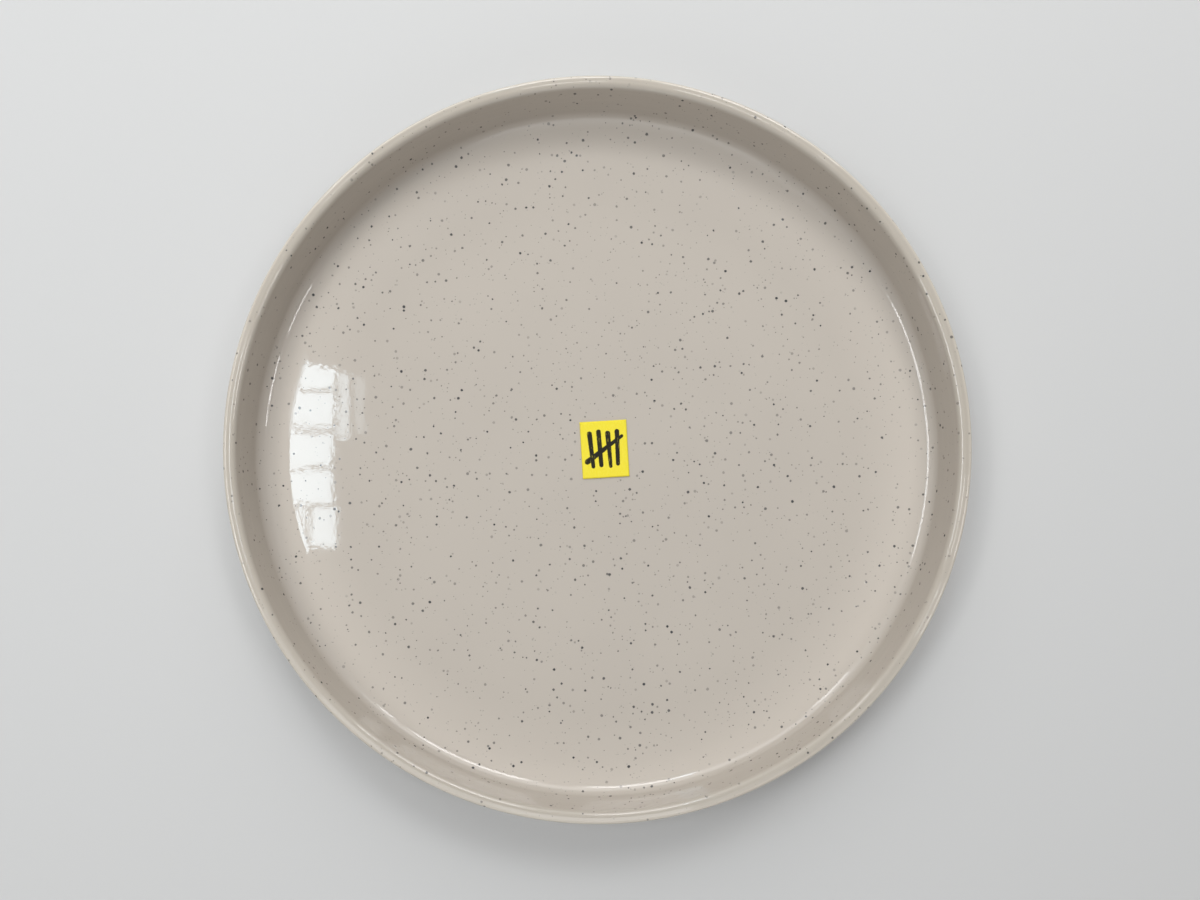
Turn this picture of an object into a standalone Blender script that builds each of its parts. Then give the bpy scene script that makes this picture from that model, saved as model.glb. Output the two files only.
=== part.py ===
"""Round serving dish: a glazed stoneware plate with an upright wall, a foot ring and a paper label.

The dish is one section turned about +Z. The section is drawn once, as the finished surface, and the clay
and both coats of glaze lie parallel to it, so all of them follow when a size changes. Metres, +Z up, with the
origin on the turning axis at the height of the surface that the dish stands on.
"""

import math

import bmesh
import bpy
from mathutils import Matrix, Vector

# Sizes of the finished dish
DISH_DIAMETER = 0.280  # outside of the lip
WELL_DEPTH = 0.021  # top of the lip down to the flat of the well
BASE_THICKNESS = 0.0055  # flat of the well down to the underside
WALL_LEAN = math.radians(6.0)  # both faces of the wall lean out by this much towards the lip
LIP_THICKNESS = 0.0048  # width of the wall's top
LIP_INNER_ROUND = 0.0022  # radius on the lip's edge above the well
LIP_OUTER_ROUND = 0.0012  # radius on the lip's outer edge
WELL_BORDER = 0.0096  # width of the border of the well that slopes up to the wall
WELL_RISE = 0.00123  # height that the sloping border gains
WELL_BEND = 0.065  # radius where the flat of the well turns into its border
WALL_FILLET = 0.005  # radius where the border turns up into the wall
OUTER_CORNER = 0.010  # radius where the outside of the wall turns under

# Foot ring
FOOT_INSET = 0.026  # outside of the lip in to the outside of the foot ring
FOOT_WIDTH = 0.006  # across the ring, glaze included
FOOT_HEIGHT = 0.0025  # underside down to the resting face
UNDERSIDE_LIFT = 0.0020  # height that the underside gains from the foot ring out to the wall
FOOT_FILLET = 0.0007  # radius where the ring leaves the underside
FOOT_ROUND = 0.0008  # radius on both edges of the resting face

# Glaze
GLAZE_THICKNESS = 0.0005
BOND_GAP = 0.0003  # clearance that stands for the fused bond between glaze and clay
GLAZE_LINE = 0.0010  # height above the resting face where the glaze stops on the foot ring

# Label in the well
LABEL_WIDTH = 0.0185
LABEL_LENGTH = 0.0225
PAPER_THICKNESS = 0.00010
GUM_THICKNESS = 0.00005
GUM_MARGIN = 0.0004  # bare border of the paper round the gum
LABEL_GAP = 0.0001  # clearance between glaze and gum, and between gum and paper
LABEL_CENTRE = (0.0032, 0.0025)  # off the turning axis
LABEL_TURN = math.radians(3.4)

# Fineness of the solids
TURN_STEPS = 64  # flats round a full turn
ARC_ERROR = 0.00008  # how far the chords of an arc may leave it
WELD = 1e-6  # points closer than this are one
CREASE = math.radians(40.0)  # edges sharper than this stay crisp

# Heights and radii that follow from the sizes
WELL_FLOOR = FOOT_HEIGHT + BASE_THICKNESS
LIP_TOP = WELL_FLOOR + WELL_DEPTH
# The outer rounding takes this much width off the lip's corner, because the wall leans
LIP_CUT = LIP_OUTER_ROUND * (math.tan(WALL_LEAN) + 1 / math.cos(WALL_LEAN) - 1)
LIP_OUTER = DISH_DIAMETER / 2 + LIP_CUT
LIP_INNER = LIP_OUTER - LIP_THICKNESS
FOOT_OUTER = DISH_DIAMETER / 2 - FOOT_INSET
FOOT_INNER = FOOT_OUTER - FOOT_WIDTH
COAT = GLAZE_THICKNESS + BOND_GAP


def leaning(radius, height):
    """Radius, at a height, of the face of the wall that has the given radius at the lip."""
    return radius - (LIP_TOP - height) * math.tan(WALL_LEAN)


def upper_way():
    """Corners of the finished surface from the axis over the lip to the foot: radius, height, rounding."""
    border = WELL_FLOOR + WELL_RISE
    border_outer = leaning(LIP_INNER, border)
    underside = FOOT_HEIGHT + UNDERSIDE_LIFT
    return [
        (0.0, WELL_FLOOR, 0.0),
        (border_outer - WELL_BORDER, WELL_FLOOR, WELL_BEND),
        (border_outer, border, WALL_FILLET),
        (LIP_INNER, LIP_TOP, LIP_INNER_ROUND),
        (LIP_OUTER, LIP_TOP, LIP_OUTER_ROUND),
        (leaning(LIP_OUTER, underside), underside, OUTER_CORNER),
        (FOOT_OUTER, FOOT_HEIGHT, FOOT_FILLET),
    ]


def base_way():
    """Corners of the finished surface from the inside of the foot ring to the axis."""
    return [(FOOT_INNER, FOOT_HEIGHT, FOOT_FILLET), (0.0, FOOT_HEIGHT, 0.0)]


def turn_between(incoming, outgoing):
    """Angle from one direction to the next, positive to the left."""
    return math.atan2(incoming.cross(outgoing), incoming.dot(outgoing))


def directions(points):
    """Unit vectors from each point to the next."""
    return [(end - start).normalized() for start, end in zip(points, points[1:])]


def parallel(corners, depths):
    """Corners of the way to the right of the given one, with a depth for each of its edges."""
    points = [Vector(corner[:2]) for corner in corners]
    along = directions(points)
    sideways = [depth * Vector((way.y, -way.x)) for way, depth in zip(along, depths)]
    first = points[0] + sideways[0]
    last = points[-1] + sideways[-1]
    moved = [(first.x, first.y, 0.0)]
    for i in range(1, len(points) - 1):
        step = sideways[i] - sideways[i - 1]
        reach = step.cross(along[i]) / along[i - 1].cross(along[i])
        meeting = points[i] + sideways[i - 1] + reach * along[i - 1]
        radius = corners[i][2]
        if depths[i - 1] == depths[i]:
            turn = turn_between(along[i - 1], along[i])
            radius = max(radius + math.copysign(depths[i], turn), 0.0)
        moved.append((meeting.x, meeting.y, radius))
    moved.append((last.x, last.y, 0.0))
    return moved


def arc(corner, incoming, turn, radius):
    """Points of the arc that rounds a corner."""
    if radius <= ARC_ERROR:
        return [corner]
    side = Vector((-incoming.y, incoming.x)) * math.copysign(radius, turn)
    start = corner - incoming * radius * math.tan(abs(turn) / 2)
    steps = math.ceil(abs(turn) / (2 * math.acos(1 - ARC_ERROR / radius)))
    turns = [Matrix.Rotation(turn * i / steps, 2) for i in range(steps + 1)]
    return [start + side - rotation @ side for rotation in turns]


def rounded(corners):
    """Points of the way through the corners, each rounded as far as its two edges have room."""
    points = [Vector(corner[:2]) for corner in corners]
    along = directions(points)
    turns = [0.0] + [turn_between(*pair) for pair in zip(along, along[1:])] + [0.0]
    reach = [corner[2] * math.tan(abs(turn) / 2) for corner, turn in zip(corners, turns)]
    room = []
    for i in range(len(along)):
        needed = reach[i] + reach[i + 1]
        length = (points[i + 1] - points[i]).length
        room.append(min(1.0, length / needed) if needed else 1.0)
    way = [points[0]]
    for i in range(1, len(points) - 1):
        radius = corners[i][2] * min(room[i - 1], room[i])
        way += arc(points[i], along[i - 1], turns[i], radius)
    return way + [points[-1]]


def coat_outline(corners):
    """Closed outline of a coat of glaze whose outer face is the given way."""
    depths = [GLAZE_THICKNESS] * (len(corners) - 1)
    return rounded(corners) + rounded(parallel(corners, depths))[::-1]


def clay_outline():
    """Closed outline of the clay: under its coats everywhere but on the resting face, which is bare."""
    above = upper_way()
    resting = [(FOOT_OUTER, 0.0, FOOT_ROUND), (FOOT_INNER, 0.0, FOOT_ROUND)]
    below = base_way()
    depths = [COAT] * len(above) + [0.0] + [COAT] * len(below)
    return rounded(parallel(above + resting + below, depths))


def finish(name, color, roughness):
    """Opaque material with one colour."""
    material = bpy.data.materials.new(name)
    material.use_nodes = True
    shader = material.node_tree.nodes["Principled BSDF"]
    shader.inputs["Base Color"].default_value = (*color, 1.0)
    shader.inputs["Roughness"].default_value = roughness
    shader.inputs["Metallic"].default_value = 0.0
    material.diffuse_color = (*color, 1.0)
    return material


def add_piece(name, shape, material, parent):
    """Object from a finished bmesh."""
    mesh = bpy.data.meshes.new(name)
    shape.to_mesh(mesh)
    shape.free()
    mesh.shade_smooth()
    mesh.set_sharp_from_angle(angle=CREASE)
    mesh.materials.append(material)
    piece = bpy.data.objects.new(name, mesh)
    piece.parent = parent
    bpy.context.scene.collection.objects.link(piece)
    return piece


def turned(outline):
    """Solid made by turning a closed outline, which may run along the axis, about +Z."""
    shape = bmesh.new()
    rim = [shape.verts.new((point.x, 0.0, point.y)) for point in outline]
    for start, end in zip(rim, rim[1:] + rim[:1]):
        if max(start.co.x, end.co.x) > WELD:
            shape.edges.new((start, end))
    sweep = shape.verts[:] + shape.edges[:]
    bmesh.ops.spin(shape, geom=sweep, axis=(0, 0, 1), cent=(0, 0, 0), angle=2 * math.pi, steps=TURN_STEPS)
    bmesh.ops.remove_doubles(shape, verts=shape.verts, dist=WELD)
    bmesh.ops.recalc_face_normals(shape, faces=shape.faces)
    return shape


def label_sheet(width, length, thickness):
    """Flat sheet centred on the axis, with its underside at height 0."""
    shape = bmesh.new()
    bmesh.ops.create_cube(shape, size=1.0)
    size = Matrix.Diagonal((width, length, thickness))
    bmesh.ops.transform(shape, matrix=size.to_4x4(), verts=shape.verts)
    bmesh.ops.translate(shape, vec=(0, 0, thickness / 2), verts=shape.verts)
    return shape


def lay_on_well(piece, height):
    """Puts a sheet of the label at its place in the well."""
    piece.location = (*LABEL_CENTRE, height)
    piece.rotation_euler.z = LABEL_TURN


def add_dish(parent):
    clay = finish("fired stoneware", (0.50, 0.41, 0.32), 0.85)
    taupe = finish("speckled taupe glaze", (0.53, 0.48, 0.42), 0.15)
    underglaze = finish("taupe glaze of the base", (0.50, 0.45, 0.40), 0.25)
    glaze_end = [(FOOT_OUTER, GLAZE_LINE, 0.0)]
    base_start = [(FOOT_INNER, GLAZE_LINE, 0.0)]
    add_piece("stoneware_body", turned(clay_outline()), clay, parent)
    add_piece("upper_glaze", turned(coat_outline(upper_way() + glaze_end)), taupe, parent)
    add_piece("base_glaze", turned(coat_outline(base_start + base_way())), underglaze, parent)


def add_label(parent):
    gum = finish("clear gum", (0.72, 0.68, 0.52), 0.40)
    paper = finish("yellow paper", (0.87, 0.76, 0.05), 0.70)
    gum_floor = WELL_FLOOR + LABEL_GAP
    paper_floor = gum_floor + GUM_THICKNESS + LABEL_GAP
    gum_sheet = label_sheet(LABEL_WIDTH - 2 * GUM_MARGIN, LABEL_LENGTH - 2 * GUM_MARGIN, GUM_THICKNESS)
    paper_sheet = label_sheet(LABEL_WIDTH, LABEL_LENGTH, PAPER_THICKNESS)
    lay_on_well(add_piece("label_adhesive", gum_sheet, gum, parent), gum_floor)
    lay_on_well(add_piece("label_paper", paper_sheet, paper, parent), paper_floor)


def main():
    for old in list(bpy.data.objects):
        bpy.data.objects.remove(old)
    dish = bpy.data.objects.new("serving_dish", None)
    bpy.context.scene.collection.objects.link(dish)
    add_dish(dish)
    add_label(dish)


main()
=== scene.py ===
# %% [markdown]
# # A speckled stoneware serving dish
# The dish is one lump of clay with an upright wall, covered with a glossy taupe glaze that is full of
# dark specks. A bare foot ring carries it, and a small paper label is stuck in its well. The packed
# solids already have the right sizes, so this lesson keeps their places and gives each piece a finer
# shape and a real surface.

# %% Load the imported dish
import math

import bmesh
import bpy
from mathutils import Matrix, Vector


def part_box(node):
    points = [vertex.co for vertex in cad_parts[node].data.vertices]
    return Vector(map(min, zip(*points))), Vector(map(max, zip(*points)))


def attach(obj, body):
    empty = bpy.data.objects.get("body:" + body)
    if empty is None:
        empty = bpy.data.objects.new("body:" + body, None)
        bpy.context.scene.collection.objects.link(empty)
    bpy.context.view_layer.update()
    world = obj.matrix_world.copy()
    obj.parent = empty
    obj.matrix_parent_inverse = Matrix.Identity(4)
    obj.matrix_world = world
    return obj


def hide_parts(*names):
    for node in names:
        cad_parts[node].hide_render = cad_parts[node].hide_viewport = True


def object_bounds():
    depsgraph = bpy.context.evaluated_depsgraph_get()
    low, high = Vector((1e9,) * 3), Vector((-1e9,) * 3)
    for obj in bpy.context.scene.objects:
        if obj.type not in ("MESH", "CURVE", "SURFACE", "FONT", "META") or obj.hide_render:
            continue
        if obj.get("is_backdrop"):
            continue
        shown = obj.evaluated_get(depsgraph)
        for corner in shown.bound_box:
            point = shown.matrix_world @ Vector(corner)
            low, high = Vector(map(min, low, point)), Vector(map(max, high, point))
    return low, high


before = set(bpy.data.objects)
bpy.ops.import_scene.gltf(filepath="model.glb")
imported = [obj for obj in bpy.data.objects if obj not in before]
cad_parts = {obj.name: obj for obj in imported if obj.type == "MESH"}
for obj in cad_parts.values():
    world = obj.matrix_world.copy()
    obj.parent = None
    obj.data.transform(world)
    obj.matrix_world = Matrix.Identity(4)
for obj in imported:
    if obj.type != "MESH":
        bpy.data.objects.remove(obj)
cad_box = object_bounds()
print("solids:", sorted(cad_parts))
print("box in mm:", [[round(1000 * value, 2) for value in corner] for corner in cad_box])

# %% [markdown]
# ## Sums that build their own nodes
# Shapes and finishes below are both made of nodes. A sum such as a mask times a strength would take many
# lines if each Math node were added by hand. A small class that holds one socket can do it instead:
# Python's own operators on it add the Math nodes, so a finish reads like arithmetic.

# %% A socket that can be reckoned with
class Wire:
    """One output socket of a node tree."""

    def __init__(self, socket):
        self.socket = socket

    def add(self, kind, settings=None, sockets=None, out=0):
        """New node in the same tree: its settings first, then values or wires for its sockets."""
        tree = self.socket.id_data
        node = tree.nodes.new(kind)
        for name, value in (settings or {}).items():
            if name == "items":
                while len(node.index_switch_items) < value:
                    node.index_switch_items.new()
            else:
                setattr(node, name, value)
        for key, value in (sockets or {}).items():
            if isinstance(value, Wire):
                tree.links.new(value.socket, node.inputs[key])
            else:
                node.inputs[key].default_value = value
        return Wire(node.outputs[out])

    def also(self, out):
        """Another output of the same node."""
        return Wire(self.socket.node.outputs[out])

    def math(self, operation, *others):
        return self.add("ShaderNodeMath", {"operation": operation}, dict(enumerate((self, *others))))

    def __add__(self, other):
        return self.math("ADD", other)

    def __radd__(self, other):
        return self.math("ADD", other)

    def __sub__(self, other):
        return self.math("SUBTRACT", other)

    def __rsub__(self, other):
        return self.add("ShaderNodeMath", {"operation": "SUBTRACT"}, {0: other, 1: self})

    def __mul__(self, other):
        return self.math("MULTIPLY", other)

    def __rmul__(self, other):
        return self.math("MULTIPLY", other)

    def __truediv__(self, other):
        return self.math("DIVIDE", other)

    def __rtruediv__(self, other):
        return self.add("ShaderNodeMath", {"operation": "DIVIDE"}, {0: other, 1: self})

    def ramp(self, start, end):
        """Eases from 0 at the start to 1 at the end, whichever of them is larger."""
        sockets = {"Value": self, "From Min": start, "From Max": end}
        return self.add("ShaderNodeMapRange", {"interpolation_type": "SMOOTHSTEP"}, sockets)


print("ready to reckon with sockets")

# %% [markdown]
# ## Turning a section
# A plate is thrown or pressed on a wheel, so every piece of it follows one rule: a section turned about
# the axis. Spin in mesh code or the Screw modifier could do it. Geometry Nodes are used here, because the
# section's corners can be sums of named sizes, and each corner gets its rounding from a Fillet Curve
# node. The section is a curve through a few corner points. Curve to Mesh then carries it along a large
# circle.

# %% A curve through rounded corners
def corner_field(index, kind, values):
    """Field that gives each point of the section its own value."""
    sockets = {0: index, **{i + 1: value for i, value in enumerate(values)}}
    return index.add("GeometryNodeIndexSwitch", {"data_type": kind, "items": len(values)}, sockets)


def rounded_section(start, corners, guide):
    """Curve through the corners: radius, height, rounding and the number of points in the rounding."""
    index = start.add("GeometryNodeInputIndex")
    places = []
    for radius, height, *_ in corners:
        places.append(start.add("ShaderNodeCombineXYZ", None, {0: radius - guide, 1: 0 - height}))
    sockets = {"Count": len(corners), "Position": corner_field(index, "VECTOR", places)}
    points = start.add("GeometryNodePoints", None, sockets)
    curve = start.add("GeometryNodePointsToCurves", None, {"Points": points, "Weight": index})
    sockets = {
        "Curve": curve,
        "Radius": corner_field(index, "FLOAT", [corner[2] for corner in corners]),
        "Count": corner_field(index, "INT", [corner[3] for corner in corners]),
        "Limit Radius": True,
    }
    return start.add("GeometryNodeFilletCurve", {"mode": "POLY"}, sockets)


def evened(curve, spacing):
    """The curve with its long straight runs divided, so that light slides evenly over them."""
    index = curve.add("GeometryNodeInputIndex")
    place = curve.add("GeometryNodeInputPosition")
    settings = {"data_type": "FLOAT_VECTOR", "domain": "POINT"}
    following = curve.add("GeometryNodeFieldAtIndex", settings, {"Value": place, "Index": index + 1})
    ends = {0: place, 1: following}
    length = curve.add("ShaderNodeVectorMath", {"operation": "DISTANCE"}, ends, "Value")
    cuts = (length / spacing).math("FLOOR")
    return curve.add("GeometryNodeSubdivideCurve", None, {"Curve": curve, "Cuts": cuts})


print("ready to draw sections")

# %% A tree that turns a section
GUIDE_RADIUS = 0.5  # circle that the section travels along
TURN_STEPS = 192
LONGEST_RUN = 0.004  # straight stretch of the section that needs no point
WELD = 1e-6  # points closer than this are one


def turned_tree(name, sizes, corners_of, material):
    """Geometry Nodes tree with one named input for each size."""
    tree = bpy.data.node_groups.new(name, "GeometryNodeTree")
    tree.is_modifier = True
    tree.interface.new_socket("Geometry", in_out="OUTPUT", socket_type="NodeSocketGeometry")
    for size in sizes:
        tree.interface.new_socket(size, in_out="INPUT", socket_type="NodeSocketFloat")
    inputs = tree.nodes.new("NodeGroupInput")
    start = Wire(inputs.outputs[0])
    named = {size: Wire(inputs.outputs[size]) for size in sizes}
    section = evened(rounded_section(start, corners_of(named), GUIDE_RADIUS), LONGEST_RUN)
    sockets = {"Resolution": TURN_STEPS, "Radius": GUIDE_RADIUS}
    circle = start.add("GeometryNodeCurvePrimitiveCircle", {"mode": "RADIUS"}, sockets)
    skin = start.add("GeometryNodeCurveToMesh", None, {"Curve": circle, "Profile Curve": section})
    skin = start.add("GeometryNodeMergeByDistance", None, {"Geometry": skin, "Distance": WELD})
    skin = start.add("GeometryNodeSetShadeSmooth", None, {"Geometry": skin, "Shade Smooth": True})
    skin = start.add("GeometryNodeRealizeInstances", None, {"Geometry": skin})
    skin = start.add("GeometryNodeSetMaterial", None, {"Geometry": skin, "Material": material})
    tree.links.new(skin.socket, tree.nodes.new("NodeGroupOutput").inputs[0])
    return tree


print("sections travel in", TURN_STEPS, "steps")

# %% A plain mesh from a tree
RIM_SHARE = 0.4  # of a coat's thickness, rounded off at its rim
RIM_STEPS = 3
RIM_ANGLE = math.radians(60)  # edges sharper than this are rims


def new_piece(name, mesh):
    piece = bpy.data.objects.new(name, mesh)
    bpy.context.scene.collection.objects.link(piece)
    return piece


def settled(piece):
    """The piece with its modifiers worked into a plain mesh."""
    evaluated = piece.evaluated_get(bpy.context.evaluated_depsgraph_get())
    mesh = bpy.data.meshes.new_from_object(evaluated)
    piece.modifiers.clear()
    old = piece.data
    piece.data = mesh
    bpy.data.meshes.remove(old)
    mesh.name = piece.name
    return piece


def turned(name, sizes, corners_of, material, skin=None):
    """Piece of the dish. A skin is a coat that hangs on the inside of the turned surface."""
    tree = turned_tree(name, sizes, corners_of, material)
    piece = new_piece(name, bpy.data.meshes.new(name))
    turning = piece.modifiers.new("turning", "NODES")
    turning.node_group = tree
    for item in tree.interface.items_tree:
        if item.in_out == "INPUT":
            turning[item.identifier] = sizes[item.name]
    if skin:
        wall = piece.modifiers.new("thickness", "SOLIDIFY")
        wall.thickness = skin
        wall.offset = -1.0
        wall.use_even_offset = True
        rim = piece.modifiers.new("soft rim", "BEVEL")
        rim.width = RIM_SHARE * skin
        rim.segments = RIM_STEPS
        rim.limit_method = "ANGLE"
        rim.angle_limit = RIM_ANGLE
    return settled(piece)


def describe(piece):
    """Prints a piece's box and whether its surface is closed."""
    shape = bmesh.new()
    shape.from_mesh(piece.data)
    low = [1000 * min(vert.co[axis] for vert in shape.verts) for axis in range(3)]
    high = [1000 * max(vert.co[axis] for vert in shape.verts) for axis in range(3)]
    loose = sum(not edge.is_manifold for edge in shape.edges)
    volume = shape.calc_volume(signed=True) * 1e9
    triangles = sum(len(face.verts) - 2 for face in shape.faces)
    shape.free()
    box = " to ".join(", ".join(f"{value:.2f}" for value in corner) for corner in (low, high))
    print(f"{piece.name}: {box} mm, {triangles} triangles, {loose} open edges, {volume:.0f} mm3")


print("ready to turn pieces")

# %% [markdown]
# ## Sizes
# What the solids can tell is measured on them, so that the dressed pieces sit where the solids are. The
# rest are the maker's own sizes: how far the wall leans, how round the lip is, and how the well runs up
# into the wall.

# %% Sizes of the dish in metres
lip_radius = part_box("upper_glaze")[1].x
lip_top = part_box("upper_glaze")[1].z
glaze_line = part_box("upper_glaze")[0].z
GLAZE = 0.0005  # thickness of a coat
BOND = 0.0003  # clearance between a coat and the clay
WALL_LEAN = math.radians(6.0)
LIP_THICKNESS = 0.0048
LIP_INNER_ROUND = 0.0022
LIP_OUTER_ROUND = 0.0012
LIP_HOLD = 0.00015  # from the end of a rounding to a point that keeps the lip flat
# How far the two roundings reach along the lip, as a share of their radius
inner_share = math.tan(math.pi / 4 - WALL_LEAN / 2)
outer_share = math.tan(math.pi / 4 + WALL_LEAN / 2)
lip_corner = lip_radius + LIP_OUTER_ROUND * (math.tan(WALL_LEAN) + 1 / math.cos(WALL_LEAN) - 1)
base_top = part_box("base_glaze")[1].z - GLAZE
foot_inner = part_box("base_glaze")[1].x - GLAZE
FOOT_WIDTH = 0.006
LABEL_GAP = 0.0001  # clearance between the glaze and the gum
well_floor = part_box("label_adhesive")[0].z - LABEL_GAP

dish_sizes = {
    "Lip corner": lip_corner,
    "Lip thickness": LIP_THICKNESS,
    "Lip top": lip_top,
    "Lip inner rounding": LIP_INNER_ROUND,
    "Lip outer rounding": LIP_OUTER_ROUND,
    "Lip inner hold": LIP_INNER_ROUND * inner_share + LIP_HOLD,
    "Lip outer hold": LIP_OUTER_ROUND * outer_share + LIP_HOLD,
    "Slope of the wall": math.tan(WALL_LEAN),
    "Well floor": well_floor,
    "Border width": 0.0096,
    "Border rise": 0.00123,
    "Border bend": 0.065,
    "Wall fillet": 0.005,
    "Outer corner": 0.010,
    "Underside lift": 0.0020,
    "Foot radius": foot_inner + FOOT_WIDTH,
    "Foot top": base_top,
    "Foot fillet": 0.0007,
}
wall_foot = lip_corner - LIP_THICKNESS - (lip_top - well_floor) * math.tan(WALL_LEAN)
border_start = wall_foot - dish_sizes["Border width"]
print({name: round(value, 5) for name, value in dish_sizes.items()})

# %% Corners of the finished surface
def upper_corners(size):
    """From the axis over the lip to the foot ring: radius, height, rounding, points in the rounding."""
    lip_inner = size["Lip corner"] - size["Lip thickness"]
    border = size["Well floor"] + size["Border rise"]
    border_outer = lip_inner - (size["Lip top"] - border) * size["Slope of the wall"]
    underside = size["Foot top"] + size["Underside lift"]
    heel = size["Lip corner"] - (size["Lip top"] - underside) * size["Slope of the wall"]
    return [
        (0.0, size["Well floor"], 0.0, 0),
        (border_outer - size["Border width"], size["Well floor"], size["Border bend"], 14),
        (border_outer, border, size["Wall fillet"], 18),
        (lip_inner, size["Lip top"], size["Lip inner rounding"], 14),
        (lip_inner + size["Lip inner hold"], size["Lip top"], 0.0, 0),
        (size["Lip corner"] - size["Lip outer hold"], size["Lip top"], 0.0, 0),
        (size["Lip corner"], size["Lip top"], size["Lip outer rounding"], 10),
        (heel, underside, size["Outer corner"], 18),
        (size["Foot radius"], size["Foot top"], size["Foot fillet"], 6),
    ]


print("the upper surface has", len(upper_corners(dish_sizes)), "corners")

# %% [markdown]
# ## The glaze
# The glaze is a glossy glass, a warm grey with iron specks that melted out of the clay. Painted images of
# specks would need a map and would stretch on the wall. Voronoi cells in Object coordinates have one seed
# point each, and the distance to it makes a round speck wherever the surface cuts through it, so specks
# sit evenly on well, wall and lip. Each cell's random colour decides how large and dark its speck is and
# if it is there at all. Where the glaze runs thin over the lip it breaks paler along the outer edge, and
# part of that paleness is painted light on the rounding. The colour also holds painted light and shade:
# the border of the well is painted paler against the shade of the wall, and the lip is warmer and painted
# darker, since it catches more light than the well. A fine ripple in the glaze's surface makes the edges
# of mirrored things ragged.

# %% Start of a finish
def finish(name, fixed):
    """Material with the values that are the same all over, and a wire to build the rest from."""
    material = bpy.data.materials.new(name)
    material.use_nodes = True
    shader = material.node_tree.nodes["Principled BSDF"]
    for socket, value in fixed.items():
        shader.inputs[socket].default_value = value
    place = Wire(shader.outputs[0]).add("ShaderNodeTexCoord", None, None, "Object")
    return material, place


def feed(material, wires):
    """Links what varies over the surface to the shader."""
    shader = material.node_tree.nodes["Principled BSDF"]
    for socket, wire in wires.items():
        material.node_tree.links.new(wire.socket, shader.inputs[socket])


def height_of(place):
    return place.add("ShaderNodeSeparateXYZ", None, {0: place}, "Z")


def flattened(place):
    """Place without its height."""
    return place.add("ShaderNodeVectorMath", {"operation": "MULTIPLY"}, {0: place, 1: (1.0, 1.0, 0.0)})


def noise(place, size, detail=1.0, out="Fac"):
    """Soft cloud with patches of the given size in metres."""
    sockets = {"Vector": place, "Scale": 1 / size, "Detail": detail, "Roughness": 0.5}
    return place.add("ShaderNodeTexNoise", {"noise_dimensions": "3D"}, sockets, out)


def blend(mask, first, second):
    """The first colour where the mask is 0 and the second where it is 1."""
    settings = {"data_type": "RGBA", "blend_type": "MIX"}
    return mask.add("ShaderNodeMix", settings, {0: mask, 6: first, 7: second}, 2)


def relief(height):
    """Normal of a surface with the given height in metres."""
    return height.add("ShaderNodeBump", None, {"Strength": 1.0, "Distance": 1.0, "Height": height})


print("ready to mix finishes")

# %% Specks
SMALLEST_SPECK = 0.45  # as a share of the largest
FAINTEST_SPECK = 0.25  # strength
SPECK_CORE = 0.60  # share of its radius that a speck fills at full strength
SPECK_DOUBT = 0.03  # band of luck in which a speck is only partly there


def shifted(place, way):
    return place.add("ShaderNodeVectorMath", {"operation": "ADD"}, {0: place, 1: way})


def nudged(place, size, reach, detail=1.0):
    """Place that wanders by up to half the reach on each axis, in patches of the given size."""
    cloud = noise(place, size, detail, "Color")
    middle = (0.5, 0.5, 0.5)
    centred = place.add("ShaderNodeVectorMath", {"operation": "SUBTRACT"}, {0: cloud, 1: middle})
    sockets = {0: centred, 1: reach, 2: place}
    return place.add("ShaderNodeVectorMath", {"operation": "MULTIPLY_ADD"}, sockets)


def specks(place, cell, radius, share, crowding=0.0):
    """Mask of round specks in a share of the cells. Crowding adds to that share or takes from it."""
    settings = {"voronoi_dimensions": "3D", "feature": "F1", "distance": "EUCLIDEAN"}
    sockets = {"Vector": place, "Scale": 1 / cell, "Randomness": 1.0}
    away = place.add("ShaderNodeTexVoronoi", settings, sockets, "Distance")
    settings = {"noise_dimensions": "3D"}
    dice = place.add("ShaderNodeTexWhiteNoise", settings, {"Vector": away.also("Color")}, "Color")
    luck = place.add("ShaderNodeSeparateColor", None, {0: dice}, "Red")
    reach = radius / cell * (SMALLEST_SPECK + (1 - SMALLEST_SPECK) * luck)
    needed = 1.0 - share
    there = (luck.also("Green") + crowding).ramp(needed - SPECK_DOUBT, needed + SPECK_DOUBT)
    strength = FAINTEST_SPECK + (1 - FAINTEST_SPECK) * luck.also("Blue")
    return away.ramp(reach, reach * SPECK_CORE) * there * strength


print("ready to sprinkle specks")

# %% Marks of the wheel
RING_DRIFT = 0.04  # how far a turning mark wanders on its way round
RING_SPACING = 0.0013


def turning_marks(place):
    """Cloud drawn out along the turning, as the wheel and the maker's hand leave it, and the radius."""
    across = flattened(place)
    radius = across.add("ShaderNodeVectorMath", {"operation": "LENGTH"}, {0: across}, "Value")
    height = height_of(place)
    drift = place.add("ShaderNodeVectorMath", {"operation": "SCALE"}, {0: place, "Scale": RING_DRIFT})
    section = place.add("ShaderNodeCombineXYZ", None, {0: radius, 2: height})
    return noise(shifted(section, drift), RING_SPACING, 2.0), radius


print("turning marks every", 1000 * RING_SPACING, "mm")

# %% Colour of the glaze
TAUPE = (0.500, 0.452, 0.396, 1.0)
COOL_TAUPE = (0.487, 0.440, 0.386, 1.0)
# painted light on the well's border, and the pale colour of the wall's streaks
PAINTED_LIGHT_AND_STREAK_TAUPE = (0.551, 0.500, 0.441, 1.0)
# warmer than the taupe and darker; the darkness is painted shade, as the lip catches more light than the
# well
LIP_CREAM_AND_PAINTED_SHADE = (0.455, 0.410, 0.342, 1.0)
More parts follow.
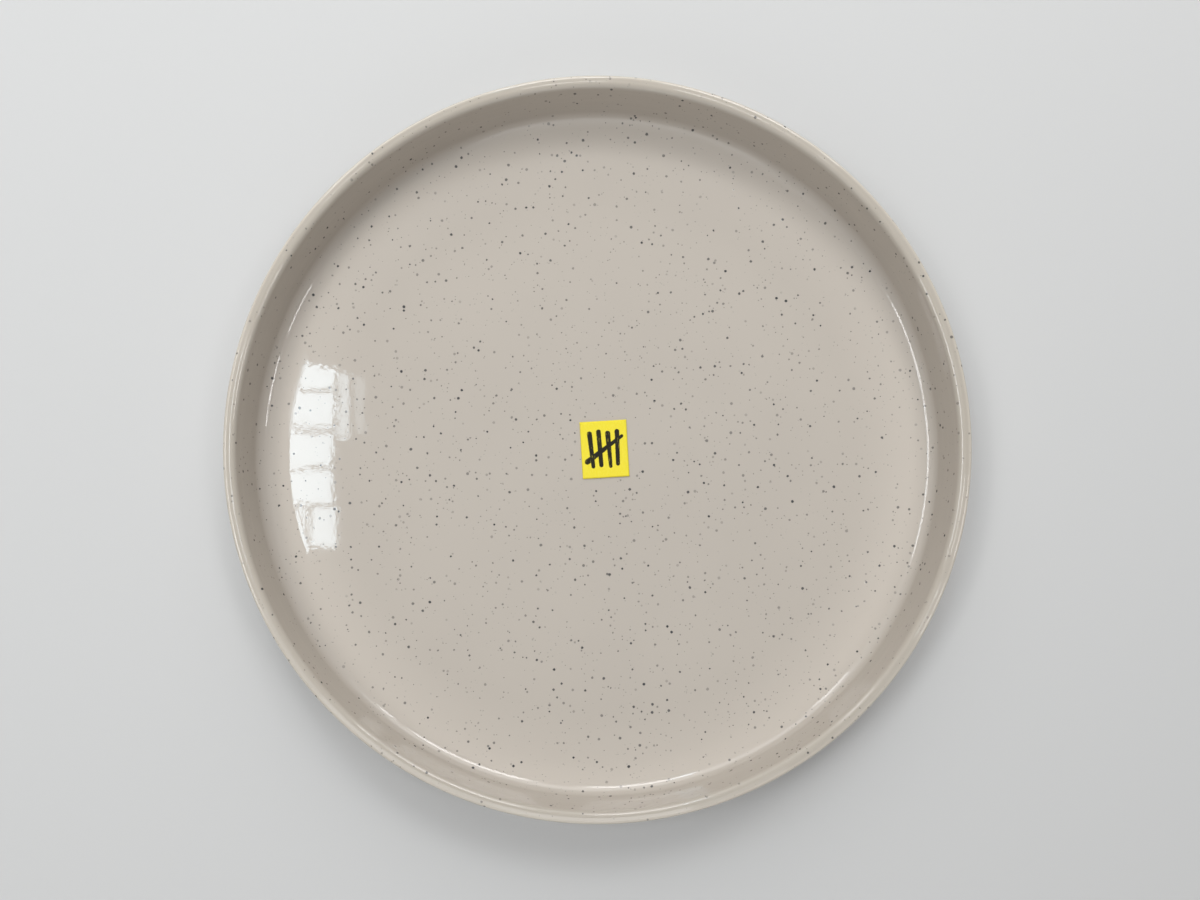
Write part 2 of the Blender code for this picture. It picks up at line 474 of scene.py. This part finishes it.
# paler where the glaze runs thin over the outer edge, and partly painted light on its rounding
EDGE_CREAM_AND_PAINTED_LIGHT = (0.620, 0.565, 0.485, 1.0)
MOTTLE_SIZE = 0.045  # patches of the cooler taupe
PAINTED_LIGHT_START = 0.100  # radius where the painted light begins: the well grows paler towards the wall, against its shade
painted_light_end = border_start + 0.004
PAINTED_LIGHT_BAND = (0.006, 0.001)  # heights over the well between which the painted light of the border comes in
STREAK_BAND = (0.002, 0.005)  # heights over the well between which the wall's streaks come in
LIP_SHADE_BAND = (0.0022, 0.0002)  # depths under the lip's top between which its darker cream, partly painted shade, comes in
EDGE_BAND = (0.0035, 0.0010)  # the same for the palest cream of the outer edge
EDGE_REACH = (0.0018, 0.0006)  # how far in from the outside that cream starts and is full
LIP_CREAM_AND_SHADE_SHARE = 0.60  # of the warmer, darker cream in the taupe on the lip; its darkness is painted shade
EDGE_SHARE = 0.80  # of the palest cream on the lip's outer edge, which is partly painted light
STREAK_SHARE = 0.22  # of pale taupe in the streaks on the wall


def over_well(height, start, end):
    """Eases from 0 at one height over the well to 1 at another."""
    return height.ramp(well_floor + start, well_floor + end)


def under_lip(height, start, end):
    """Eases from 0 at one depth under the lip's top to 1 at another."""
    return height.ramp(lip_top - start, lip_top - end)


def glaze_tint(place, height, radius, marks):
    """Colour of the glaze before the specks, with painted light on the well's border and painted shade on
    the lip.
    """
    mottle = noise(place, MOTTLE_SIZE, 2.0).ramp(0.30, 0.75)
    tint = blend(mottle, TAUPE, COOL_TAUPE)
    # Painted light: the border of the well is painted paler, to lift the shade that the wall casts on it
    border = radius.ramp(PAINTED_LIGHT_START, painted_light_end) * over_well(height, *PAINTED_LIGHT_BAND)
    tint = blend(border, tint, PAINTED_LIGHT_AND_STREAK_TAUPE)
    # Painted shade: the lip's top is painted darker, since it catches more light than the well
    tint = blend(LIP_CREAM_AND_SHADE_SHARE * under_lip(height, *LIP_SHADE_BAND), tint, LIP_CREAM_AND_PAINTED_SHADE)
    # The lip's outer edge is paler where the glaze runs thin, and partly painted light on the rounding
    outside = radius.ramp(lip_radius - EDGE_REACH[0], lip_radius - EDGE_REACH[1])
    edge = outside * under_lip(height, *EDGE_BAND)
    tint = blend(EDGE_SHARE * edge, tint, EDGE_CREAM_AND_PAINTED_LIGHT)
    streak = over_well(height, *STREAK_BAND) * marks.ramp(0.45, 0.75)
    return blend(STREAK_SHARE * streak, tint, PAINTED_LIGHT_AND_STREAK_TAUPE)


print("the well grows paler over", round(1000 * (painted_light_end - PAINTED_LIGHT_START), 1), "mm")

# %% The speckled glaze
IRON = (0.035, 0.036, 0.040, 1.0)
DARK_SPECKS = {"cell": 0.0024, "radius": 0.00073, "share": 0.54}
FAINT_SPECKS = {"cell": 0.0017, "radius": 0.00036, "share": 0.60}
FAINT_SHARE = 0.65  # of iron in a faint speck
FAINT_SHIFT = (0.31, 0.17, 0.23)  # to cells with other luck
RAGGED_SIZE = 0.0005  # patches of the nudge that makes specks ragged
RAGGED_REACH = (0.00032, 0.00032, 0.00032)
CROWDING = 0.5  # how much the share of specks changes from patch to patch
CROWD_SIZE = 0.012
WALL_LOSS = 0.18  # share of cells that have no speck on the wall and the lip
WALL_BAND = (0.002, 0.006)  # heights over the well between which the wall begins
RIPPLE = (6.0e-6, 0.0016)  # height and size of the fine ripple
WAVE = (4.5e-5, 0.016)  # height and size of the slow wave
WAVE_SHIFT = (0.1, 0.4, 0.2)
MARK_HEIGHT = 0.8e-6
SPECK_DENT = 1.5e-6
DISH_GLOSS = 0.024  # roughness of the glossiest patches
DULL = (0.02, 0.018)  # added roughness and size of the duller patches
SPECK_DULL = 0.06


def speckled_glaze(name, gloss):
    material, place = finish(name, {"IOR": 1.52, "Metallic": 0.0})
    height = height_of(place)
    crowding = CROWDING * noise(place, CROWD_SIZE) - CROWDING / 2
    crowding = crowding - WALL_LOSS * over_well(height, *WALL_BAND)
    ragged = nudged(place, RAGGED_SIZE, RAGGED_REACH)
    dark = specks(ragged, **DARK_SPECKS, crowding=crowding)
    faint = specks(shifted(ragged, FAINT_SHIFT), **FAINT_SPECKS, crowding=crowding)
    marks, radius = turning_marks(place)
    tint = glaze_tint(place, height, radius, marks)
    tint = blend(FAINT_SHARE * faint, tint, IRON)
    tint = blend(dark, tint, IRON)
    ripple = RIPPLE[0] * noise(place, RIPPLE[1])
    wave = WAVE[0] * noise(shifted(place, WAVE_SHIFT), WAVE[1])
    surface = relief(ripple + wave + MARK_HEIGHT * marks - SPECK_DENT * dark)
    shine = gloss + DULL[0] * noise(place, DULL[1], 2.0) + SPECK_DULL * dark
    feed(material, {"Base Color": tint, "Roughness": shine, "Normal": surface})
    return material


dish_glaze = speckled_glaze("speckled taupe glaze", DISH_GLOSS)
print(dish_glaze.name, "has", len(dish_glaze.node_tree.nodes), "nodes")

# %% [markdown]
# ## The coat of glaze
# The upper coat runs over the well, wall and lip and stops in a soft edge on the outside of the foot
# ring, where the maker wiped it off so that the dish doesn't stick to the kiln shelf. A swollen copy of
# the clay could be the coat, but its outer face would then depend on the swelling. Here the finished
# surface itself is turned, and a Solidify modifier hangs the thickness on its inside.

# %% Turn the upper coat
def upper_coat_corners(size):
    return upper_corners(size) + [(size["Foot radius"], size["Glaze line"], 0.0, 0)]


coat_sizes = {**dish_sizes, "Glaze line": glaze_line}
upper_coat = turned("upper_coat", coat_sizes, upper_coat_corners, dish_glaze, GLAZE)
describe(upper_coat)
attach(upper_coat, "root")
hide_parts("upper_glaze")

# %% [markdown]
# ## The glaze of the base
# Inside the foot ring the underside has its own disc of the same glaze. It lay on the kiln's floor side,
# so it came out a little duller. One short section is enough: up the inside of the ring, round a small
# fillet and to the axis.

# %% Turn the base coat
def base_coat_corners(size):
    return [
        (size["Foot inside"], size["Glaze line"], 0.0, 0),
        (size["Foot inside"], size["Foot top"], size["Foot fillet"], 6),
        (0.0, size["Foot top"], 0.0, 0),
    ]


base_sizes = {name: coat_sizes[name] for name in ("Glaze line", "Foot top", "Foot fillet")}
base_sizes["Foot inside"] = foot_inner
BASE_GLOSS = 0.10
base_finish = speckled_glaze("taupe glaze of the base", BASE_GLOSS)
base_coat = turned("base_coat", base_sizes, base_coat_corners, base_finish, GLAZE)
describe(base_coat)
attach(base_coat, "root")
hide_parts("base_glaze")

# %% [markdown]
# ## The bare clay
# Only the foot ring shows the clay itself: buff stoneware with grains of grog and iron, toasted a little
# where the glaze ends, and greyed where it rubs on shelves. Cutting the coats out of a solid with a
# Boolean would leave untidy faces, so the same corners serve again, one coat further in. Grains of two
# sizes and a fine tooth in the Bump node make it look dry next to the glaze.

# %% The fired clay
BUFF = (0.520, 0.425, 0.325, 1.0)
TOASTED = (0.400, 0.270, 0.165, 1.0)
GROG = (0.660, 0.590, 0.490, 1.0)
RUBBED = (0.330, 0.290, 0.250, 1.0)
GROG_GRAINS = {"cell": 0.0011, "radius": 0.00030, "share": 0.50}
IRON_GRAINS = {"cell": 0.0024, "radius": 0.00040, "share": 0.35}
IRON_SHIFT = (0.2, 0.5, 0.1)  # to cells with other luck
TOOTH_SIZE = 0.00035
TOOTH_HEIGHT = 2.4e-5
GRAIN_HEIGHT = 2.0e-5
TOAST_START = 0.0002  # height over the shelf where the toasted colour comes in
TOAST_SIZE = 0.006
RUB_HEIGHT = 0.0003  # height over the shelf where the rubbed colour ends
RUB_SIZE = 0.009
RUB_SHIFT = (0.3, 0.1, 0.6)


def fired_clay(name):
    material, place = finish(name, {"Metallic": 0.0, "Specular IOR Level": 0.25})
    height = height_of(place)
    grains = specks(place, **GROG_GRAINS)
    iron = specks(shifted(place, IRON_SHIFT), **IRON_GRAINS)
    tooth = noise(place, TOOTH_SIZE, 3.0)
    toast = height.ramp(TOAST_START, glaze_line) * noise(place, TOAST_SIZE, 2.0).ramp(0.25, 0.65)
    patches = noise(shifted(place, RUB_SHIFT), RUB_SIZE, 3.0).ramp(0.42, 0.62)
    rubbed = height.ramp(RUB_HEIGHT, 0.0) * patches
    tint = blend(0.35 * tooth.ramp(0.3, 0.7), BUFF, RUBBED)
    tint = blend(0.75 * toast, tint, TOASTED)
    tint = blend(0.80 * grains, tint, GROG)
    tint = blend(0.55 * rubbed, tint, RUBBED)
    tint = blend(iron, tint, IRON)
    rough = 0.92 - 0.20 * rubbed - 0.12 * grains
    surface = relief(TOOTH_HEIGHT * tooth + GRAIN_HEIGHT * grains)
    feed(material, {"Base Color": tint, "Roughness": rough, "Normal": surface})
    return material


stoneware = fired_clay("fired stoneware")
print(stoneware.name, "has", len(stoneware.node_tree.nodes), "nodes")

# %% Turn the clay
def clay_corners(size):
    return upper_corners(size) + [
        (size["Foot radius"], 0.0, size["Foot rounding"], 5),
        (size["Foot inside"], 0.0, size["Foot rounding"], 5),
        (size["Foot inside"], size["Foot top"], size["Foot fillet"], 6),
        (0.0, size["Foot top"], 0.0, 0),
    ]


inset = GLAZE + BOND
across = inset / math.cos(WALL_LEAN)
change = {
    "Lip corner": -across - inset * math.tan(WALL_LEAN),
    "Lip thickness": -2 * across,
    "Lip top": -inset,
    "Lip inner rounding": -inset,
    "Lip outer rounding": -inset,
    "Lip inner hold": -inset * inner_share,
    "Lip outer hold": -inset * outer_share,
    "Well floor": -inset,
    "Border bend": inset,
    "Wall fillet": inset,
    "Outer corner": -inset,
    "Foot radius": -inset,
    "Foot top": inset,
    "Foot fillet": inset,
}
clay_sizes = {name: size + change.get(name, 0.0) for name, size in dish_sizes.items()}
clay_sizes["Foot inside"] = foot_inner + inset
FOOT_ROUND = 0.0008
clay_sizes["Foot rounding"] = FOOT_ROUND
clay = turned("clay_body", clay_sizes, clay_corners, stoneware)
describe(clay)
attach(clay, "root")
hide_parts("stoneware_body")

# %% [markdown]
# ## The paper label
# A small yellow label is stuck in the well. A flat box would look like a tile, so it is a fine grid that
# bows by less than a tenth of a millimetre and curls up at two corners and along the front, with the
# thickness of paper from a Solidify modifier.

# %% Lay the paper
LABEL_WIDTH = 0.0185
LABEL_LENGTH = 0.0225
LABEL_TURN = math.radians(3.4)
PAPER_BOW = 0.00005  # height of the middle over the long sides
RIGHT_LIFT = 0.00034  # how strongly the back right corner curls up
LEFT_LIFT = 0.00022  # and the back left one
FRONT_LIFT = 0.00012  # and the front edge
paper_low, paper_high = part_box("label_paper")
label_centre = (Vector(paper_low) + Vector(paper_high)) / 2


def paper_height(across, along):
    """Height of the paper over its gum. Both places run from -1 to 1 over the label."""
    bow = PAPER_BOW * (1.0 - across * across) * (1.0 + 0.5 * math.sin(2.1 * along))
    right = RIGHT_LIFT * max(0.0, across + along - 1.15) ** 2
    left = LEFT_LIFT * max(0.0, along - across - 1.25) ** 2
    return bow + (right + left) + FRONT_LIFT * max(0.0, -along - 0.80) ** 2


def label_sheet():
    shape = bmesh.new()
    bmesh.ops.create_grid(shape, x_segments=28, y_segments=34, size=1.0)
    for vert in shape.verts:
        vert.co.z = paper_height(vert.co.x, vert.co.y)
    bmesh.ops.scale(shape, vec=(LABEL_WIDTH / 2, LABEL_LENGTH / 2, 1.0), verts=shape.verts)
    turn = Matrix.Rotation(LABEL_TURN, 3, "Z")
    bmesh.ops.rotate(shape, cent=(0, 0, 0), matrix=turn, verts=shape.verts)
    place = (label_centre.x, label_centre.y, paper_high[2])
    bmesh.ops.translate(shape, vec=place, verts=shape.verts)
    mesh = bpy.data.meshes.new("paper_label")
    shape.to_mesh(mesh)
    shape.free()
    mesh.shade_smooth()
    return mesh


label = new_piece("paper_label", label_sheet())
sheet = label.modifiers.new("paper", "SOLIDIFY")
sheet.thickness = paper_high[2] - paper_low[2]
sheet.offset = -1.0
settled(label)
describe(label)

# %% [markdown]
# ## Paper and pen
# The label carries a quick tally in black felt pen. Each stroke is the distance from a line between two
# points, so it needs no picture. A little noise on the place makes the edges bleed along the fibres, and
# thin patches show where the pen ran dry. A Mapping node turns the place so that the strokes are laid out
# along the label's own sides.

# %% Strokes of a felt pen
INK_EDGE = 0.00012  # half the width over which a stroke fades out


def stroke(place, start, end, first_half_width, last_half_width):
    """Mask of one straight pen stroke between two points, in metres."""
    run = Vector(end) - Vector(start)
    from_start = place.add("ShaderNodeVectorMath", {"operation": "SUBTRACT"}, {0: place, 1: start})
    dot = place.add("ShaderNodeVectorMath", {"operation": "DOT_PRODUCT"}, {0: from_start, 1: run}, "Value")
    share = (dot / run.length_squared).math("MAXIMUM", 0.0).math("MINIMUM", 1.0)
    reached = place.add("ShaderNodeVectorMath", {"operation": "SCALE"}, {0: run, "Scale": share})
    settings = {"operation": "DISTANCE"}
    away = place.add("ShaderNodeVectorMath", settings, {0: from_start, 1: reached}, "Value")
    edge = away - (first_half_width + (last_half_width - first_half_width) * share)
    return edge.ramp(INK_EDGE, -INK_EDGE)


TALLY = [
    ((-0.0056, 0.0064, 0), (-0.0048, -0.0066, 0), 0.00100, 0.00075),
    ((-0.0020, 0.0070, 0), (-0.0016, -0.0062, 0), 0.00095, 0.00085),
    ((0.0016, 0.0062, 0), (0.0021, -0.0068, 0), 0.00105, 0.00070),
    ((0.0053, 0.0068, 0), (0.0050, -0.0060, 0), 0.00095, 0.00080),
    ((-0.0070, -0.0046, 0), (0.0071, 0.0049, 0), 0.00110, 0.00065),
]
print("the tally has", len(TALLY), "strokes")

# %% The marked paper
YELLOW = (0.860, 0.720, 0.040, 1.0)
PALE_YELLOW = (0.905, 0.780, 0.110, 1.0)
INK = (0.010, 0.009, 0.004, 1.0)
BLEED_SIZE = 1 / 2600
BLEED_REACH = (0.00030, 0.00030, 0.0)
DRY_SIZE = 0.00045
DRY_PACE = 0.25  # how slowly dry patches change along the label
DRY_LOSS = 0.30  # of the ink where the pen ran dry
FIBRE_SIZE = 0.00018
FIBRE_PACE = 0.15
FIBRE_HEIGHT = 3.0e-6


def drawn_out(place, pace):
    """Place whose patterns are drawn out along the label."""
    sockets = {"Vector": place, "Scale": (1.0, pace, 1.0)}
    return place.add("ShaderNodeMapping", {"vector_type": "POINT"}, sockets)


def marked_paper(name):
    material, place = finish(name, {"Metallic": 0.0, "Specular IOR Level": 0.20})
    centre = (label_centre.x, label_centre.y, 0.0)
    sockets = {"Vector": place, "Location": centre, "Rotation": (0.0, 0.0, LABEL_TURN)}
    own = place.add("ShaderNodeMapping", {"vector_type": "TEXTURE"}, sockets)
    pen = flattened(nudged(own, BLEED_SIZE, BLEED_REACH, 2.0))
    ink = stroke(pen, *TALLY[0])
    for line in TALLY[1:]:
        ink = ink.math("MAXIMUM", stroke(pen, *line))
    dry = noise(drawn_out(own, DRY_PACE), DRY_SIZE, 2.0).ramp(0.60, 0.72)
    ink = ink * (1.0 - DRY_LOSS * dry)
    fibre = noise(drawn_out(own, FIBRE_PACE), FIBRE_SIZE, 2.0)
    tint = blend(0.45 * fibre.ramp(0.35, 0.75), YELLOW, PALE_YELLOW)
    tint = blend(ink, tint, INK)
    rough = 0.80 - 0.15 * ink
    feed(material, {"Base Color": tint, "Roughness": rough, "Normal": relief(FIBRE_HEIGHT * fibre)})
    return material


label.data.materials.append(marked_paper("marked yellow paper"))
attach(label, "root")
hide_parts("label_paper")
print("label laid", [round(1000 * value, 2) for value in label_centre])

# %% [markdown]
# ## The gum
# The gum under the paper is a thin flat film whose solid already has the right shape, so it stays and
# only gets its finish: clear, slightly yellow, with small bubbles where it didn't wet the glaze.

# %% Finish the gum
CLEAR_GUM = (0.72, 0.68, 0.52, 1.0)
PALE_GUM = (0.82, 0.79, 0.68, 1.0)
AGED_GUM = (0.60, 0.54, 0.36, 1.0)
BUBBLES = {"cell": 0.0012, "radius": 0.00045, "share": 0.60}
BUBBLE_CROWDING = 0.4
BUBBLE_PATCH = 0.006
BUBBLE_HEIGHT = 4.0e-6
AGED_SIZE = 0.004


def clear_gum(name):
    material, place = finish(name, {"Metallic": 0.0, "IOR": 1.47})
    crowding = BUBBLE_CROWDING * noise(place, BUBBLE_PATCH) - BUBBLE_CROWDING / 2
    bubbles = specks(place, **BUBBLES, crowding=crowding)
    tint = blend(bubbles, CLEAR_GUM, PALE_GUM)
    aged = noise(place, AGED_SIZE, 2.0).ramp(0.4, 0.8)
    tint = blend(0.3 * aged, tint, AGED_GUM)
    rough = 0.30 + 0.30 * bubbles
    feed(material, {"Base Color": tint, "Roughness": rough, "Normal": relief(BUBBLE_HEIGHT * bubbles)})
    return material


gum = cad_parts["label_adhesive"]
for slot in gum.material_slots:
    slot.material = clear_gum("clear gum")
print(gum.name, "keeps its solid and has", gum.material_slots[0].material.name)

# %% [markdown]
# ## The floor
# The dish stands on a plain pale floor. A curved backdrop would hide its end, but it would also catch
# light. Here the floor fades, far from the dish, into a background of the same colour, so that low views
# have no dark horizon. Light Path gives that background only to rays from the camera, from a gloss or
# through glass, so it puts no more light on the dish and the floor keeps the dish's shadow.

# %% The floor
PALE = (0.62, 0.62, 0.615, 1.0)
FADE_START = 0.35  # distance from the axis where the floor begins to fade
FADE_END = 0.95
FLOOR_HALF = 4.0


def background_rays(wire):
    """1 for rays that show the background: from the camera, from a gloss or through glass."""
    path = wire.add("ShaderNodeLightPath", None, None, "Is Camera Ray")
    for kind in ("Is Glossy Ray", "Is Transmission Ray"):
        path = path.math("MAXIMUM", path.add("ShaderNodeLightPath", None, None, kind))
    return path


def floor_finish():
    """Pale floor that fades into the background far from the dish."""
    material, place = finish("pale floor", {"Roughness": 0.9, "Base Color": PALE})
    nodes = material.node_tree.nodes
    away = place.add("ShaderNodeVectorMath", {"operation": "LENGTH"}, {0: place}, "Value")
    fade = away.ramp(FADE_START, FADE_END) * background_rays(place)
    haze = place.add("ShaderNodeEmission", None, {"Color": PALE})
    near = Wire(nodes["Principled BSDF"].outputs[0])
    surface = fade.add("ShaderNodeMixShader", None, {0: fade, 1: near, 2: haze})
    material.node_tree.links.new(surface.socket, nodes["Material Output"].inputs["Surface"])
    return material


def pale_floor():
    shape = bmesh.new()
    bmesh.ops.create_grid(shape, x_segments=1, y_segments=1, size=FLOOR_HALF)
    mesh = bpy.data.meshes.new("floor")
    shape.to_mesh(mesh)
    shape.free()
    floor = new_piece("floor", mesh)
    mesh.materials.append(floor_finish())
    floor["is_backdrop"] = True
    return floor


print("floor:", pale_floor().dimensions[:])

# %% [markdown]
# ## The camera
# The photograph looks straight down, and its lens stood a little in front of the dish and to its left,
# because the wall shows wider at the back than at the front although the lip is a true circle. A tilted
# camera would turn that circle into an ellipse. The camera therefore looks straight down too, and its
# shift brings the dish back to the middle of the frame.

# %% Set up the camera
PHOTO_WIDTH = 1200  # pixels
FOCAL = 902.0  # pixels
SHIFT = (20.0, 100.6)  # pixels
SENSOR = 36.0  # millimetres
LENS = Vector((-0.0065, -0.0376, 0.3653))  # its place over the dish
camera_data = bpy.data.cameras.new("camera")
camera_data.sensor_fit = "HORIZONTAL"
camera_data.sensor_width = SENSOR
camera_data.lens = SENSOR * FOCAL / PHOTO_WIDTH
camera_data.clip_start = 0.01
camera_data.shift_x = SHIFT[0] / PHOTO_WIDTH
camera_data.shift_y = SHIFT[1] / PHOTO_WIDTH
camera = bpy.data.objects.new("camera", camera_data)
bpy.context.scene.collection.objects.link(camera)
camera.location = LENS
bpy.context.scene.camera = camera
bpy.context.scene.view_settings.view_transform = "Standard"
print(f"camera {1000 * LENS.z:.0f} mm over the floor, lens {camera_data.lens:.2f} mm")

# %% [markdown]
# ## Light
# Three large soft lights give the plain level: a ceiling, one behind the dish and a weaker one in front.
# Point lamps or the sun would draw hard shadows of the wall across the well. A glossy glaze shows what it
# is by what it mirrors, so the other lights are placed by where their mirror images should lie. A ray
# from the lens leaves the flat well as steeply as it came, so the spot overhead follows from the spot on
# the well. Panels whose images would lie past the well show only as thin lines, in the fillet across the
# dish and on the edge of the lip, and some lie where only the flat of the lip shows them. Area lights are
# used because they keep their outline in a mirror.

# %% Softboxes
WHITE = (1.0, 1.0, 1.0)
STRIP_DISTANCE = 1.3


def softbox(name, place, aim, width, length, radiance, colour=WHITE):
    """Area light that looks at a point and shows the given radiance in a perfect mirror."""
    light = bpy.data.lights.new(name, "AREA")
    light.shape = "RECTANGLE"
    light.size = width
    light.size_y = length
    light.energy = radiance * math.pi * width * length
    light.color = colour
    lamp = bpy.data.objects.new(name, light)
    bpy.context.scene.collection.objects.link(lamp)
    lamp.location = place
    lamp.rotation_euler = (Vector(place) - Vector(aim)).to_track_quat("Z", "Y").to_euler()
    return lamp


def strip_light(name, azimuth, elevation, spread, height, radiance):
    """Softbox round the dish that covers the given angles, in degrees, as seen from the well."""
    turn = math.radians(azimuth)
    lift = math.radians(elevation)
    way = Vector((math.cos(lift) * math.cos(turn), math.cos(lift) * math.sin(turn), math.sin(lift)))
    width = 2 * STRIP_DISTANCE * math.tan(math.radians(spread / 2)) * math.cos(lift)
    length = 2 * STRIP_DISTANCE * math.tan(math.radians(height / 2))
    return softbox(name, STRIP_DISTANCE * way, (0.0, 0.0, well_floor), width, length, radiance)


softbox("ceiling", (-0.16, 0.03, 1.40), (-0.16, 0.03, 0.0), width=1.7, length=1.7, radiance=0.27)
strip_light("back light", azimuth=92, elevation=34, spread=80, height=34, radiance=1.90)
strip_light("front fill", azimuth=265, elevation=34, spread=56, height=36, radiance=1.15)

# %% The world
AMBIENT = 0.08  # strength of the light that comes from all around
world = bpy.data.worlds.new("studio")
bpy.context.scene.world = world
world.use_nodes = True
background = world.node_tree.nodes["Background"]
background.inputs["Color"].default_value = (*WHITE, 1.0)
strength = AMBIENT + (PALE[0] - AMBIENT) * background_rays(Wire(background.outputs[0]))
world.node_tree.links.new(strength.socket, background.inputs["Strength"])
print("the world lights with", AMBIENT, "and shows as", PALE[0])

# %% Panels by their mirror images
WINDOW_HEIGHT = 1.108  # over the floor
DAYLIGHT = (0.85, 1.0, 1.10)
mirror_scale = (WINDOW_HEIGHT - well_floor) / (LENS.z - well_floor)


def mirrored(x, y):
    """Spot at the height of the window that the lens sees mirrored at a place on the well."""
    right = x + (x - LENS.x) * mirror_scale
    back = y + (y - LENS.y) * mirror_scale
    return Vector((right, back, WINDOW_HEIGHT))


def overhead(name, left, right, front, back, radiance):
    """Softbox that faces down and whose image covers a patch of the well."""
    low = mirrored(left, front)
    high = mirrored(right, back)
    spot = (low + high) / 2
    down = spot - Vector((0, 0, 1))
    return softbox(name, spot, down, high.x - low.x, high.y - low.y, radiance, DAYLIGHT)


def ring_panel(name, azimuth, spread, near, far, radiance, colour=WHITE):
    """Softbox that faces down, with its image between two radii of a well that goes on past its wall."""
    turn = math.radians(azimuth)
    middle = (near + far) / 2
    spot = mirrored(middle * math.cos(turn), middle * math.sin(turn))
    grown = 1 + mirror_scale
    width = 2 * middle * math.tan(math.radians(spread / 2))
    down = spot - Vector((0, 0, 1))
    lamp = softbox(name, spot, down, grown * (far - near), grown * width, radiance, colour)
    lamp.rotation_euler.z = turn
    return lamp


print("a millimetre on the well mirrors", round(1 + mirror_scale, 2), "mm overhead")

# %% The window
PANE_LEFT = -0.1260
PANE_RIGHT = -0.1040
PANE_FRONT = -0.0200
PANE_ROW = 0.0152
PANE_BAR = 0.0015
PANE_ROWS = 4
LAST_ROW = 0.65  # height of the row at the back, as a share of the others
LOWER_BACK = PANE_FRONT - 0.0007
PANE_RADIANCE = 9.2
LOWER_RADIANCE = 8.6
for row in range(PANE_ROWS):
    front = PANE_FRONT + PANE_ROW * row
    back = front + PANE_ROW * (LAST_ROW if row == PANE_ROWS - 1 else 1.0)
    sides = (PANE_LEFT, PANE_RIGHT, front + PANE_BAR / 2, back - PANE_BAR / 2)
    overhead(f"pane {row}", *sides, PANE_RADIANCE)
lower_left = (PANE_LEFT + 0.0040, PANE_LEFT + 0.0110, PANE_FRONT - 0.0125, LOWER_BACK)
lower_right = (PANE_RIGHT - 0.0092, PANE_RIGHT + 0.0008, PANE_FRONT - 0.0160, LOWER_BACK)
overhead("left lower pane", *lower_left, LOWER_RADIANCE)
overhead("right lower pane", *lower_right, LOWER_RADIANCE)
strip = (PANE_RIGHT + 0.0015, PANE_RIGHT + 0.0054)
faint_strip = (PANE_RIGHT + 0.0083, PANE_RIGHT + 0.0123)
overhead("strip", *strip, front=0.0075, back=0.0325, radiance=6.0)
overhead("faint strip", *faint_strip, front=0.0084, back=0.0317, radiance=2.0)
print("window panes end", round(1000 * PANE_RIGHT), "mm from the axis")

# %% Panels that draw lines
WELL_END = 0.1215  # first radius that the flat well can't show
LIP_FLAT = (0.1360, 0.1500)  # radii that the flat of the lip would show
BESIDE_WELL = (WELL_END, LIP_FLAT[0])
LEFT_NEAR = 0.1275
LEFT_RADIANCE = 8.5
RIGHT_FAR = 0.175
BACK_FAR = 0.250
BACK_GAIN = 1.5  # how much brighter the inner back panels are
PANEL_SPREAD = 16  # degrees
for azimuth, far in ((168, 0.185), (183, 0.200), (198, 0.235)):
    name = f"left panel {azimuth}"
    ring_panel(name + " inside", azimuth, PANEL_SPREAD, LEFT_NEAR, LIP_FLAT[0], LEFT_RADIANCE)
    ring_panel(name, azimuth, PANEL_SPREAD, LIP_FLAT[1], far, LEFT_RADIANCE)
for azimuth, spread, radiance in ((68, 20, 8.8), (95, 13, 7.5), (133, 8, 6.5), (52, 3, 7.5)):
    name = f"back panel {azimuth}"
    ring_panel(name + " inside", azimuth, spread, *BESIDE_WELL, BACK_GAIN * radiance)
    ring_panel(name, azimuth, spread, LIP_FLAT[1], BACK_FAR, radiance)
for azimuth, spread in ((-25, 9.5), (-10, 13)):
    name = f"right panel {azimuth}"
    ring_panel(name + " inside", azimuth, spread, *BESIDE_WELL, radiance=15.0)
    ring_panel(name, azimuth, spread, LIP_FLAT[1], RIGHT_FAR, radiance=12.0)
bright = {"azimuth": 102.8, "spread": 6.5, "near": 0.158, "far": BACK_FAR, "radiance": 9.0}
ring_panel("bright panel", **bright, colour=DAYLIGHT)

# %% Panels for the flat of the lip
lip_panels = {213: 1.5, 229: 2.6, 245: 2.2, 261: 2.8, 277: 3.0, 293: 1.0}  # radiance by azimuth
for azimuth, radiance in lip_panels.items():
    ring_panel(f"front panel {azimuth}", azimuth, PANEL_SPREAD, *LIP_FLAT, radiance)
print("panels for the lip:", len(lip_panels))

# %% [markdown]
# ## Last measures
# The dressed dish must keep the size of the solids, so both boxes are written down side by side.

# %% Measure and finish
boxes = {"solids": cad_box, "dressed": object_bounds()}
for name, box in boxes.items():
    print(name, [[round(1000 * value, 2) for value in corner] for corner in box])
